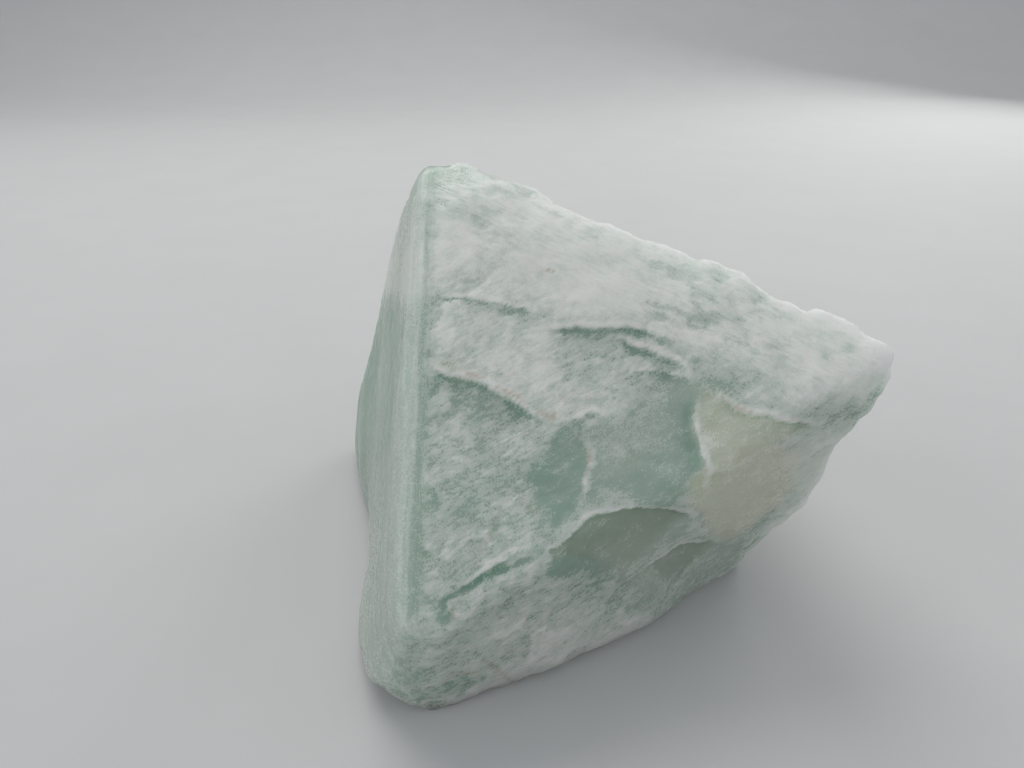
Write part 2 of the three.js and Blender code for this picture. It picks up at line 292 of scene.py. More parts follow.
# Places in the part's frame where the outline moves a little, how wide they are, and how far they move
SWELLS = [
    ((-12.4, 2.3, 47.6), 5.0, (0.0, 0.0, -1.2)),
    ((-3.3, -1.7, 44.9), 3.5, (0.0, 0.0, -0.6)),
    ((8.4, -7.1, 41.0), 4.0, (0.0, 0.0, -0.45)),
    ((16.7, -10.9, 38.3), 2.5, (0.0, 0.0, 0.45)),
    ((29.0, -18.6, 32.4), 4.0, (0.9, 0.0, 0.2)),
    ((28.7, -17.2, 27.6), 4.5, (0.9, 0.0, -0.2)),
    ((26.2, -14.6, 16.8), 3.5, (0.7, 0.0, 0.0)),
    ((25.3, -13.8, 12.8), 3.5, (0.7, 0.0, -0.1)),
    ((-28.5, 16.3, 10.0), 12.0, (-1.2, 0.0, 0.0)),
    ((-22.8, -13.6, 6.1), 4.5, (0.5, 0.0, 0.0)),
    ((-21.7, -22.0, 3.8), 7.0, (-0.8, 0.0, 0.0)),
    ((-5.5, -26.3, 1.8), 12.0, (0.0, -0.5, -0.1)),
    ((-9.0, -28.6, 1.6), 6.0, (0.0, -0.3, -0.1)),
    ((-4.5, -26.4, 2.2), 6.0, (0.0, -0.7, -0.35)),
    ((0.4, -24.1, 2.6), 6.0, (0.0, -0.7, -0.35)),
    ((5.5, -21.0, 2.3), 6.0, (0.0, -0.8, -0.35)),
    ((10.5, -17.7, 2.1), 6.0, (0.1, -0.8, -0.35)),
]

# Two rims on the lower face, with clear olive ground below them, darkened by painted shade under each rim
OLIVE_RIM = [(-11.4, 17.6), (-10.1, 18.9), (-8.1, 19.1), (-6.7, 20.2), (-5.2, 20.0), (-3.1, 18.5),
    (-1.1, 16.9), (0.9, 14.5), (3.6, 10.8), (4.6, 8.6)]
LOW_OLIVE_RIM = [(-3.0, 5.6), (-1.3, 6.3), (0.5, 6.4), (2.2, 6.4), (3.9, 4.8), (6.0, 3.2), (7.0, 1.0)]

# Ledges: the face, how far each steps down, how far the low ground takes to rise again, and its line, which
# has the low ground on its right
LEDGES = [
    ("front", 0.16, 6.0, [(-13.5, 7.5), (-9.7, 7.2), (-6.8, 6.9), (-5.0, 6.3), (-2.5, 5.6), (-0.7, 5.0)]),
    ("front", 0.65, 6.0, [(-13.0, 0.6), (-10.8, -1.0), (-8.8, -1.5), (-6.3, -2.7), (-3.9, -4.0),
        (-1.9, -5.5), (-0.6, -6.4)]),
    ("front", 0.52, 3.0, [(-2.0, 3.4), (0.3, 3.7), (3.1, 3.5), (5.6, 3.6), (7.0, 3.8), (8.7, 3.1),
        (10.3, 2.3), (11.3, 1.3)]),
    ("front", 0.62, 4.5, [(4.6, 2.6), (6.5, 2.3), (7.9, 1.6), (9.8, 0.4), (11.8, -0.8), (13.0, -2.6)]),
    ("front", 0.3, 3.0, [(6.4, -1.4), (9.7, -1.2), (11.7, -2.0), (12.9, -2.9)]),
    ("front", 0.36, 3.0, [(-0.6, -6.4), (1.4, -5.9), (2.8, -5.1), (5.4, -5.7)]),
    ("front", 0.16, 2.5, [(1.6, -7.2), (2.3, -8.7), (2.6, -9.8), (2.2, -11.8), (1.8, -14.4)]),
    ("front", 0.28, 3.0, [(13.2, -3.6), (12.4, -6.9), (12.7, -9.0), (13.1, -11.3), (12.6, -13.0),
        (11.1, -14.2)]),
    ("front", 0.42, 5.0, [(13.8, -3.7), (15.1, -4.1), (16.0, -5.2), (19.2, -6.0), (20.4, -6.7),
        (23.3, -6.8), (27.5, -6.2)]),
    ("front", 0.4, 2.0, [(-9.9, -21.5), (-7.6, -20.2), (-5.8, -18.9), (-4.3, -18.2), (-3.0, -17.9),
        (-1.9, -18.2)]),
    ("lower", 0.55, 7.0, OLIVE_RIM),
    ("lower", 0.6, 6.0, LOW_OLIVE_RIM),
]

# The groove along the ledge above the near corner, on the front face
CRACK = [(-11.0, -23.2), (-8.6, -21.3), (-6.8, -20.5), (-5.3, -19.6), (-4.0, -19.2), (-2.2, -18.8)]

# Patches: the face each is on, how strong it is, and its outline there
SMOOTH_FACETS = [
    ("front", 0.9, [(2.7, -6.3), (5.4, -5.5), (9.5, -3.6), (11.7, -2.2), (12.9, -3.0), (13.1, -4.4),
        (12.4, -6.9), (13.1, -11.3), (12.6, -13.0), (11.1, -14.6), (7.8, -14.9), (1.8, -15.4), (2.6, -9.8),
        (1.8, -7.7)]),
    ("front", 0.7, [(-0.3, -6.6), (2.1, -6.3), (2.6, -10.1), (1.8, -14.4), (-0.8, -16.3), (-2.7, -14.3),
        (-2.7, -10.4)]),
    ("front", 0.9, [(13.2, -4.1), (16.0, -5.2), (20.4, -6.7), (27.0, -6.6), (29, -12), (17, -19),
        (11.4, -17), (13.1, -11.3)]),
    ("lower", 0.8, [(3.6, 10.8), (5.6, 5.4), (6.3, 2.6), (8.8, -0.2), (13.4, -0.4), (17.4, 1.1), (21.0, 6),
        (10, 20), (4, 16)]),
    ("front", 0.3, [(18, -4), (20, 2), (30, 3), (34, -2), (30, -6), (22, -5.5)]),
    ("lower", 0.9, [(-10.2, 20.7), (-3.1, 20.4), (0.9, 16.4), (5.5, 11), (2.3, 7.7), (-1.1, 7.8),
        (-6.3, 9.4), (-11.4, 16.1)]),
    ("lower", 0.8, [(-1.3, 6.6), (2.2, 6.8), (6.0, 3.6), (9, -2), (10, -9), (1.2, -9), (-5.5, 1.2)]),
]
TEAL_PATCHES = [
    ("front", 0.5, [(-11.2, -1.2), (-9.1, -1.5), (-7.4, -2.0), (-5.0, -3.4), (-2.6, -5.1), (-0.6, -6.4),
        (-2.6, -6.6), (-4.3, -6.5), (-6.3, -6.1), (-8.0, -6.4), (-9.7, -5.3), (-10.8, -3.5)]),
    ("front", 0.75, [(-0.5, -6.6), (2.1, -6.3), (2.3, -8.4), (2.5, -10.1), (1.8, -14.4), (-0.8, -16.6),
        (-2.7, -14.3), (-3.3, -12.0), (-2.7, -10.4), (-1.3, -8.7)]),
    ("front", 0.6, [(11.5, -3.7), (13.0, -3.7), (12.6, -6.9), (13.1, -11.3), (12.7, -12.6), (11.6, -12.6),
        (11.2, -7.9)]),
    ("front", 0.45, [(9.6, 6.6), (10.2, 5.8), (10.6, 3.8), (9.4, 4.3)]),
    ("front", 0.45, [(13.3, 6.9), (15.6, 3.7), (13.7, 2.2), (12.9, 4.1)]),
    ("front", 0.35, [(7.8, 12.0), (10.6, 11.1), (12.6, 9.3), (12.5, 7.9), (9.8, 9.9)]),
    ("front", 0.4, [(-0.4, 3.4), (1.0, 3.7), (5.2, 3.2), (4.4, 2.1), (1.0, 2.2)]),
    ("front", 0.5, [(5.6, 3.4), (7.0, 3.7), (8.6, 3.0), (11.1, 1.3), (9.9, 1.4), (7.6, 2.6)]),
    ("front", 0.55, [(5.3, 2.1), (6.5, 2.2), (8.2, 0.8), (9.8, -0.2), (8.5, 0.1), (6.8, 0.5)]),
    ("front", 0.55, [(7.0, -1.3), (9.7, -1.3), (11.7, -2.1), (12.9, -3.0), (11.0, -2.6), (9.0, -2.2)]),
    ("front", 0.8, [(-11.1, -22.3), (-9.4, -21.8), (-9.7, -23.8), (-10.7, -24.0)]),
    ("lower", 0.8, [(-11.4, 16.1), (-10.0, 17.8), (-6.0, 12), (-4.7, 6.7), (-7.8, 8.5), (-10.0, 12)]),
    ("lower", 0.8, [(-27.9, 11.1), (-25.1, 8.0), (-21.8, 7.3), (-20.4, 5.5), (-23.5, 4.0), (-26.6, 6.3)]),
    ("lower", 0.6, [(-26.2, 13.2), (-23.8, 11.7), (-24.2, 10.6), (-26.6, 11.4)]),
    ("front", 0.3, [(14.2, 0.3), (16.0, 1.8), (19.2, 2.4), (22.3, 0.0), (21.3, -2.9), (17.5, -3.9),
        (14.6, -2.7)]),
    ("front", 0.1, [(-8.5, 16.9), (-4.6, 16.3), (-0.9, 10.0), (-0.9, 5.5), (-4.7, 6.4), (-7.3, 10.3)]),
]
LEFT_TEAL = [
    ("left", 1.0, [(-60, 9), (-4.8, 14.4), (4, 14.4), (15.7, 13.7), (12.5, 9.9), (12.6, 5.6), (13, 2.6),
        (14.5, 0), (8, -4), (-60, -24)]),
    ("left", 0.55, [(-60, 9), (12, 9), (13, 2.6), (16, -3), (9, -7), (-60, -29)]),
    ("left", 0.3, [(-60, 9), (12, 9), (13, 2.6), (17, -6), (9, -10), (-60, -34)]),
]
TAWNY_PATCHES = [
    ("front", 0.8, [(13.2, -4.1), (13.8, -3.7), (15.1, -4.1), (16.0, -5.2), (19.2, -6.0), (20.4, -6.7),
        (22.3, -7.2), (24.5, -9.0), (17, -20), (11.4, -18), (11.1, -14.2), (13.1, -11.3), (12.4, -6.9)]),
    ("lower", 1.0, [(3.6, 10.8), (4.8, 9.8), (5.6, 5.4), (6.3, 2.6), (8.8, -0.2), (13.4, 0.4), (16.0, 3.0),
        (16.5, 9), (10, 20), (4, 16)]),
    ("lower", 0.15, [(-4.4, 12.8), (-1.0, 11.2), (0.6, 6.3), (-0.7, 1.1), (-4.2, 1.9), (-5.7, 7.2)]),
    ("front", 0.8, [(-12.0, 0.3), (-10.5, 0.1), (-8.8, -0.7), (-8.8, -1.5), (-10.1, -1.4), (-11.4, -0.7)]),
]
WHITE_PATCHES_AND_PAINTED_LIGHT = [
    ("front", 0.44, [(-14, 24), (-13, 7.6), (-6.8, 7.0), (-0.7, 5.2), (0.3, 4.0), (7.0, 4.1), (11.5, 1.5),
        (13.5, 0.5), (16.5, -1.6), (21.0, -4.0), (26.0, -6.0), (33, -6), (36, 0), (30, 12), (0, 27)]),
    ("front", 0.7, [(3.6, 13.9), (6.2, 13.6), (11.1, 10.0), (13.8, 7.8), (12.6, 6.6), (8.5, 9.2),
        (3.9, 12.0)]),
    ("front", 0.6, [(-0.2, 10.0), (3.9, 11.1), (7.1, 9.3), (7.2, 5.2), (3.6, 4.1), (0.4, 5.0)]),
    ("front", 0.42, [(-12.2, 6.4), (-0.8, 4.4), (-0.4, 0.5), (1.5, -3.4), (-0.6, -5.6), (-3.9, -3.4),
        (-8.8, -0.5), (-12.2, 0.6)]),
    ("front", 0.62, [(-13.5, 18), (-9, 18), (-7, 12), (-7, 9), (-13, 9)]),
    # Painted light: brightens the underside of the right tip, which turns away from the light
    ("front", 0.62, [(19, 4), (27, 6), (38, 4), (38, -8), (24, -5), (21, -1)]),
    ("front", 0.22, [(-0.4, 1.6), (5, 1.4), (8, -1), (5, -5), (0, -5.6)]),
    ("front", 0.35, [(20.1, -6.9), (26, -9.0), (27, -12), (25, -15), (20.2, -16.0), (17.9, -16.2),
        (19.5, -12.7), (19.4, -9.6)]),
    ("lower", 0.35, [(14.0, 17.0), (22.0, 8.0), (25.0, 2.0), (24.0, -6.0), (17.0, -5.0), (13.4, -2.0),
        (14.7, 5.2), (13.8, 12.3)]),
    ("left", 0.4, [(-60, 9), (-4.8, 14.4), (4, 14.4), (15.7, 13.7), (24, 15.3), (31, 16), (40, 40),
        (-60, 60)]),
    ("lower", 0.2, [(-20, 14), (-8, 8), (-2, -4), (8, -9), (0, -30), (-30, -10)]),
]

# Lines: how strong each is, its half width, and its path. The low stains lie on the lower face, and the
# others on the front face
# Painted shade: dark teal along the crack's groove and under the wall of the upper step
TEAL_SHADE_LINES = [
    (1.0, 0.7, [(-9.5, -21.3), (-7.6, -20.2), (-5.8, -18.9), (-4.3, -18.2), (-3.0, -17.9), (-1.9, -18.2)]),
    (0.4, 0.22, [(-12.2, 7.2), (-9.7, 7.0), (-6.8, 6.7), (-5.0, 6.1), (-2.5, 5.4), (-0.7, 4.8)]),
]
STAINS = [
    (1.0, 0.3, [(-8.9, -1.0), (-6.3, -2.4), (-3.9, -3.7), (-1.9, -5.3), (-0.6, -5.9), (-0.4, -4.6),
        (0.8, -3.4)]),
    (1.0, 0.3, [(-9.0, -0.9), (-8.7, -1.3)]),
    (0.9, 0.22, [(1.8, -7.7), (2.3, -8.7), (2.6, -9.8), (2.2, -10.8), (2.1, -11.6)]),
    (0.8, 0.25, [(13.3, -4.6), (13.4, -3.8), (15.1, -4.0), (16.0, -5.1), (17.6, -5.6)]),
    (1.0, 0.22, [(-1.0, 10.1), (-0.5, 9.9)]),
    (0.6, 0.25, [(-8.6, -21.7), (-9.4, -22.6), (-9.7, -23.8)]),
    (0.35, 0.25, [(-5.7, -14.3), (-6.9, -17.3), (-8.1, -20.0)]),
    (0.5, 0.25, [(-4.2, -13.1), (-2.7, -14.7), (-1.6, -16.1), (-1.3, -17.1)]),
]
LOW_STAINS = [
    (0.7, 0.3, [(-19.9, 8.4), (-18.8, 4.2), (-17.6, -2.1)]),
    (0.6, 0.3, [(-27.1, 10.1), (-25.0, 8.3), (-22.8, 8.1), (-20.6, 7.0)]),
]

# Olive ground with painted shade below the rims on the lower face: how strong it is, how far it runs on, and
# the rim above it
OLIVE_AND_SHADE_RIMS = [
    (1.0, 8.0, OLIVE_RIM[:-1]),
    (0.9, 6.0, LOW_OLIVE_RIM),
]


def beyond_bevel(faces):
    """The bevel along the left edge, and all that lies left of it."""
    return smooth(*BEVEL_SIDE, faces["front"].place[:, 0])


def grain_shares(faces):
    """How much of each grain there is at every point."""
    left = smooth(-3.0, 0.0, faces["left"].level)
    drop = np.maximum(left, beyond_bevel(faces))
    fall = smooth(-14.0, -5.0, faces["crown"].level) * (1 - drop)
    return {"rise": 1 - drop - fall, "fall": fall, "drop": drop}


def drawn_out(points, grain, strength):
    """Places at which noise comes out long in the grain's direction."""
    along = unit(GRAINS[grain][0])
    return points - (strength * (points @ along))[:, None] * along


def terraces(height, step):
    """Levels a smooth height into flat treads with short risers."""
    level = np.floor(height / step)
    return (level + smooth(0.7, 1.0, height / step - level)) * step


def patches(faces, outlines, wander, edge):
    """How strongly the patches cover each point. Their outlines wander, and are soft over that edge."""
    cover = np.zeros(len(wander))
    for name, strength, outline in outlines:
        near = smooth(*MARK_DEPTH, faces[name].level)
        inside = smooth(edge, -edge, faces[name].outline(outline) + wander)
        cover = np.maximum(cover, strength * near * inside)
    return cover


def stripes(face, lines, wander):
    """How strongly the lines cover each point, every line with its own strength and half width."""
    near = smooth(*MARK_DEPTH, face.level)
    cover = np.zeros(len(wander))
    for strength, width, path in lines:
        away = np.abs(face.line(path)[0]) + wander
        cover = np.maximum(cover, strength * near * smooth(width, 0.2 * width, away))
    return cover


def ledges(faces, ragged):
    """The steps down across the faces, each with a sharp upper rim, and the groove along one of them."""
    lift = np.zeros(len(ragged))
    for name, drop, run_out, path in LEDGES:
        away, end = faces[name].line(path)
        below = away + ragged
        near = smooth(*LEDGE_DEPTH, faces[name].level)
        fade = near * smooth(0.0, 4.5, end) * smooth(9.0, 5.0, np.abs(away))
        fall = smooth(0.0, 0.45, below) * np.exp(-np.maximum(below, 0) / run_out)
        rim = np.exp(-np.abs(below) / 0.9) * (below < 0.2)
        lift += fade * drop * (0.12 * rim - fall)
    groove, end = faces["front"].line(CRACK)
    near = smooth(*LEDGE_DEPTH, faces["front"].level)
    return lift - 0.35 * near * smooth(0.0, 1.5, end) * smooth(0.6, 0.1, np.abs(groove + ragged))


def bright_rims(faces, ragged):
    """How strongly the flaked upper rims of the ledges whiten each point."""
    cover = np.zeros(len(ragged))
    for name, _, _, path in LEDGES:
        away, end = faces[name].line(path)
        below = away + ragged
        near = smooth(*LEDGE_DEPTH, faces[name].level) * smooth(0.0, 2.0, end)
        cover = np.maximum(cover, near * smooth(-0.65, -0.1, below) * smooth(0.25, 0.0, below))
    return cover


def olive_ground_and_shade(face, ragged):
    """How strongly the ground below the rims is covered by its clear dull green and by painted shade, most of
    all at the rims.
    """
    near = smooth(*RIM_DEPTH, face.level)
    cover = np.zeros(len(ragged))
    for strength, run_on, path in OLIVE_AND_SHADE_RIMS:
        away, end = face.line(path)
        below = away + ragged
        ground = smooth(0.0, 0.5, below) * np.exp(-((np.maximum(below, 0) / run_on) ** 2))
        cover = np.maximum(cover, strength * near * smooth(0.0, 2.5, end + 0.3) * ground)
    return cover


class Marks:
    """What lies where on the even surface, before it is roughened."""

    def __init__(self, points):
        self.points = points
        self.faces = {name: Face(name, points) for name in FACES}
        levels = np.sort([face.level for face in self.faces.values()], axis=0)
        self.inland = smooth(-2.0, -6.5, levels[-2])
        self.shares = grain_shares(self.faces)
        self.wander = 0.5 * clouds(points, size=2.4, octaves=3, shift=4.0)
        sheen = 0.85 * smooth(-1.5, 0.5, self.faces["left"].level)
        self.polish = np.maximum(sheen, patches(self.faces, SMOOTH_FACETS, self.wander, edge=0.8))
        self.broad, broad_wall = self.drawn(lambda p: flakes(p + 0.4 * drift(p, 3.0), size=6.0, seed=1))
        self.middle, middle_wall = self.drawn(lambda p: flakes(p + 0.5 * drift(p, 2.0), size=2.4, seed=2))
        self.small, _ = self.drawn(lambda p: flakes(p + 0.25 * drift(p, 0.9), size=1.1, seed=3))
        # Painted highlights: thin bright lines along the walls between flakes, standing for lit cleavage
        # edges
        self.wall_highlights = np.maximum(smooth(0.10, 0.02, broad_wall), 0.5 * smooth(0.14, 0.03, middle_wall))
        self.ragged = 0.45 * self.wander + 0.12 * self.middle
        growth = clouds(drawn_out(points, "drop", GROWTH_LINES), size=0.8, octaves=2, shift=17.0)
        self.lines = self.shares["drop"] * growth

    def drawn(self, pattern):
        """A pair of patterns, drawn out along each grain and blended by how much there is of that grain."""
        blend = np.zeros((len(self.points), 2))
        for grain, share in self.shares.items():
            here = share > 0.01
            pair = pattern(drawn_out(self.points[here], grain, GRAINS[grain][1]))
            blend[here] += share[here][:, None] * np.stack(pair, axis=1)
        return blend.T


def ease(skin, name, share):
    """Evens one broad face out, but not its edges."""
    faces = {key: Face(key, skin.points) for key in FACES}
    level = faces[name].level
    others = np.max([face.level for key, face in faces.items() if key != name], axis=0)
    own = smooth(-3.0, 0.5, level - others) * smooth(-6.0, -4.0, level)
    eased = skin.spread(level * own, 300) / np.maximum(skin.spread(own, 300), 0.01)
    skin.points += (share * own * (eased - level))[:, None] * unit(FACES[name][0])
    skin.soften(smooth(0.5, 3.0, level - others) * own, 25)


def reshape(skin, marks):
    """Rounds the facets, moves the outline to its true place, and leaves the edges chipped and uneven."""
    edges, drop = 1 - marks.inland, marks.shares["drop"]
    skin.points = skin.spread(skin.points, 2)
    skin.soften(0.45 * marks.inland, 60)
    for spot, reach, push in SWELLS:
        away = np.linalg.norm(marks.points - (np.array(spot) - CENTRE) @ skin.rotation, axis=1)
        skin.points += np.exp(-((away / reach) ** 2))[:, None] * (np.array(push) @ skin.rotation)
    chips = smooth(0.15, 0.3, clouds(marks.points, size=3.0, octaves=3, shift=21.0)) * edges * (1 - drop)
    skin.soften(0.5 * chips, 35)
    uneven = 0.22 * drift(skin.points, size=3.4) + 0.08 * drift(skin.points, size=1.3, shift=11.0)
    uneven += (0.22 * edges)[:, None] * drift(skin.points, size=1.6, shift=31.0)
    skin.points += (1 - 0.7 * drop)[:, None] * uneven


def flake(skin, marks):
    """Raises and sinks the surface by its ledges, treads, plates and growth lines."""
    broken = 1 - marks.polish
    swell, ripple = marks.drawn(lambda p: (clouds(p, 5.0, 5, shift=7.0), clouds(p, 1.0, 3, shift=5.0)))
    treads = terraces(0.30 * swell + 0.08 * marks.broad, step=0.09)
    lift = 0.12 * (1 - marks.shares["drop"]) * clouds(marks.points, size=11.0, octaves=2)
    lift += ledges(marks.faces, marks.ragged)
    lift += broken * (0.5 * treads + 0.07 * marks.broad + 0.03 * marks.middle + 0.015 * marks.small)
    lift += 0.018 * broken * ripple + 0.07 * marks.lines
    skin.points += skin.normals() * lift[:, None]


def wear(skin, marks):
    """Rounds the ridges, in some places more than in others."""
    ridge = smooth(0.05, 0.5, skin.bulge(10)) * (1 - marks.inland)
    worn = ridge * (0.30 + 0.45 * clouds(skin.points, size=4.0, octaves=2, shift=3.0))
    skin.soften(np.clip(worn, 0, 0.9), 8)


def roughen(skin):
    """Breaks the even surface up into worn, flaky cleavage, and keeps its underside flat."""
    base = skin.height() < BASE_RISE
    marks = Marks(skin.points.copy())
    reshape(skin, marks)
    flake(skin, marks)
    wear(skin, marks)
    height = skin.height()
    sink = np.where(base, -height, np.maximum(-height, 0))
    skin.points += sink[:, None] * skin.rotation[2]
    return marks


def colour_places(skin, marks):
    """Paints where the frosted veil, the clear green, the tawny zone and the rust stains lie, and where light
    and shade are painted in.
    """
    points, faces = marks.points, marks.faces
    front, crown = faces["front"], faces["crown"]
    fine_bulge, wide_bulge = skin.bulge(4), skin.bulge(30)
    mottle, deep = marks.drawn(lambda p: (clouds(p, 3.2, 4, shift=2.0), clouds(p, 5.0, 3, shift=8.0)))
    wander = 0.45 * clouds(points, size=1.6, octaves=4, shift=6.0)
    spots = smooth(-0.6, 0.2, clouds(points, size=1.4, octaves=3, shift=9.0))

    # Zones of the stone
    left = smooth(-2.5, -0.5, faces["left"].level)
    bevel = beyond_bevel(faces) * (1 - left)
    seen = np.max([faces[name].level for name in ("front", "left", "lower")], axis=0)
    hidden = smooth(-3.0, -8.0, seen)
    over_edge = smooth(-9.0, -1.0, front.level) * smooth(-3.0, -0.5, crown.level)
    # Painted shade: frost and paleness fade around the top corner, darkening it where the lights fall
    # brightest
    from_top = np.linalg.norm(points - np.array((0.0, 0.0, EDGE / math.sqrt(2))), axis=1)
    top_painted_shade = np.exp(-((from_top / 9.0) ** 2))

    # Colours
    olive_and_shade = olive_ground_and_shade(faces["lower"], 0.5 * wander)
    tawny = patches(faces, TAWNY_PATCHES, wander, edge=1.1)
    white = patches(faces, WHITE_PATCHES_AND_PAINTED_LIGHT, 2.0 * wander, edge=2.2)
    teal_and_shade = patches(faces, TEAL_PATCHES, 1.3 * wander, edge=0.5)
    # Painted shade in teal along the crack's groove and under the upper step
    teal_and_shade = np.maximum(teal_and_shade, stripes(front, TEAL_SHADE_LINES, 0.5 * wander))
    streaks = 1 - 0.5 * smooth(-0.3, 0.5, deep)
    teal_and_shade = np.maximum(teal_and_shade, streaks * patches(faces, LEFT_TEAL, 3.0 * mottle, edge=2.4))
    depth = smooth(-0.1, 0.5, deep) * np.clip(1 - 1.6 * white - marks.shares["drop"], 0, 1)
    # Deeper teal in the wide hollows, part clearer green and part painted shade, and in cloudy patches of
    # deep green
    teal_and_shade += 0.5 * smooth(0.03, 0.3, -wide_bulge) + 0.45 * depth
    teal_and_shade = np.clip(teal_and_shade * (1 - 0.6 * tawny), 0, 1)
    white = np.maximum(white, 0.5 * over_edge)
    banks = smooth(-0.15, 0.35, clouds(points, size=12.0, octaves=3, shift=14.0))
    white = np.maximum(white, 0.5 * hidden * banks)
    rust = stripes(front, STAINS, 0.2 * wander)
    rust = np.maximum(rust, stripes(faces["lower"], LOW_STAINS, 0.2 * wander))

    # Frost: on what stands out, least where the stone is smooth or clear, with painted highlights along the
    # flakes' walls
    frost_and_painted_light = 0.15 * mottle + 2.5 * np.clip(fine_bulge, -0.08, 0.12) + 0.1 * np.clip(wide_bulge, -0.2, 0.5)
    frost_and_painted_light += 0.10 * marks.broad + 0.12 * marks.middle + 0.06 * marks.small + 0.12 * marks.wall_highlights
    frost_and_painted_light = 0.42 + frost_and_painted_light * (1 - 0.5 * left - 0.8 * bevel) - 0.34 * left - 0.12 * bevel
    frost_and_painted_light += white * (1 - 0.5 * teal_and_shade) - 0.30 * marks.polish * (1 - left - bevel)
    frost_and_painted_light -= 0.26 * teal_and_shade + 0.25 * olive_and_shade + 0.15 * tawny
    frost_and_painted_light += (0.45 * bevel + 0.15 * left) * marks.lines
    frost_and_painted_light += 0.5 * bright_rims(faces, marks.ragged) * (0.6 + 0.6 * spots)
    pale = np.clip(white * (1.5 + 0.6 * marks.broad + 0.5 * marks.middle), 0, 1)

    skin.paint("frost_and_painted_light", frost_and_painted_light - top_painted_shade)
    skin.paint("pale", np.maximum(pale * (1 - 0.6 * bevel), 0.25 * left) * (1 - 0.5 * top_painted_shade))
    skin.paint("teal_and_shade", np.maximum(teal_and_shade, 0.2 * bevel))
    skin.paint("olive_and_shade", olive_and_shade)
    skin.paint("tawny", tawny)
    skin.paint("rust", rust * spots)
    skin.paint("polish", np.maximum(marks.polish, 0.8 * left + 0.4 * bevel))
    skin.paint("place", points)
    for grain, share in marks.shares.items():
        skin.paint(grain, share)
        skin.paint(grain + "_place", drawn_out(points, grain, GRAINS[grain][2]))


# Shader maths


class Shade:
    """A shader's output in Python expressions: the operators add Math nodes."""

    def __init__(self, finish, socket):
        self.finish = finish
        self.socket = socket

    def maths(self, operation, *values):
        return self.finish.node("ShaderNodeMath", {"operation": operation}, dict(enumerate(values)))

    def __add__(self, other):
        return self.maths("ADD", self, other)

    def __radd__(self, other):
        return self.maths("ADD", other, self)

    def __sub__(self, other):
        return self.maths("SUBTRACT", self, other)

    def __rsub__(self, other):
        return self.maths("SUBTRACT", other, self)

    def __mul__(self, other):
        return self.maths("MULTIPLY", self, other)

    def __rmul__(self, other):
        return self.maths("MULTIPLY", other, self)

    def clamped(self, low, high):
        """0 below low and 1 above high, with a smooth rise between them."""
        sockets = {"Value": self, "From Min": low, "From Max": high}
        return self.finish.node("ShaderNodeMapRange", {"interpolation_type": "SMOOTHSTEP"}, sockets)


class Finish:
    """One material and its nodes."""

    def __init__(self, name):
        self.material = bpy.data.materials.new(name)
        self.material.use_nodes = True
        self.tree = self.material.node_tree
        self.tree.nodes.clear()

    def node(self, kind, settings, sockets, output=0):
        """Adds a node: its settings first, then its sockets' values or links. Gives one output, if any."""
        made = self.tree.nodes.new(kind)
        for name, value in settings.items():
            setattr(made, name, value)
        for name, value in sockets.items():
            if isinstance(value, Shade):
                self.tree.links.new(value.socket, made.inputs[name])
            else:
                made.inputs[name].default_value = value
        return Shade(self, made.outputs[output]) if made.outputs else None

    def mix(self, factor, first, second):
        """A colour between two colours."""
        a, b = (colour if isinstance(colour, Shade) else (*colour, 1.0) for colour in (first, second))
        return self.node("ShaderNodeMix", {"data_type": "RGBA"}, {0: factor, 6: a, 7: b}, output=2)

    def attribute(self, name, output="Fac"):
        return self.node("ShaderNodeAttribute", {"attribute_name": name}, {}, output)

    def noise(self, place, scale, detail, roughness=0.6):
        sockets = {"Vector": place, "Scale": scale, "Detail": detail, "Roughness": roughness}
        return self.node("ShaderNodeTexNoise", {}, sockets)

    def fibres(self, grain, scale):
        """Fine noise drawn out along one grain, as far as there is any of it."""
        place = self.attribute(grain + "_place", "Vector")
        return self.noise(place, scale, detail=1.0) * self.attribute(grain)

    def shader(self, sockets, volume=None):
        """The surface, and what fills it."""
        ends = {"Surface": self.node("ShaderNodeBsdfPrincipled", {}, sockets)}
        if volume:
            ends["Volume"] = self.node("ShaderNodeVolumeAbsorption", {}, volume)
        self.node("ShaderNodeOutputMaterial", {}, ends)
        return self.material


# Colours of the stone, some of them also used for painted light and shade
FROST_AND_PAINTED_LIGHT = (0.85, 0.845, 0.805)
PALE = (0.66, 0.70, 0.645)
MINT = (0.41, 0.495, 0.425)
TEAL_AND_SHADE = (0.30, 0.42, 0.345)
OLIVE_AND_SHADE = (0.34, 0.41, 0.32)
TAWNY = (0.68, 0.68, 0.545)
RUST = (0.36, 0.26, 0.14)


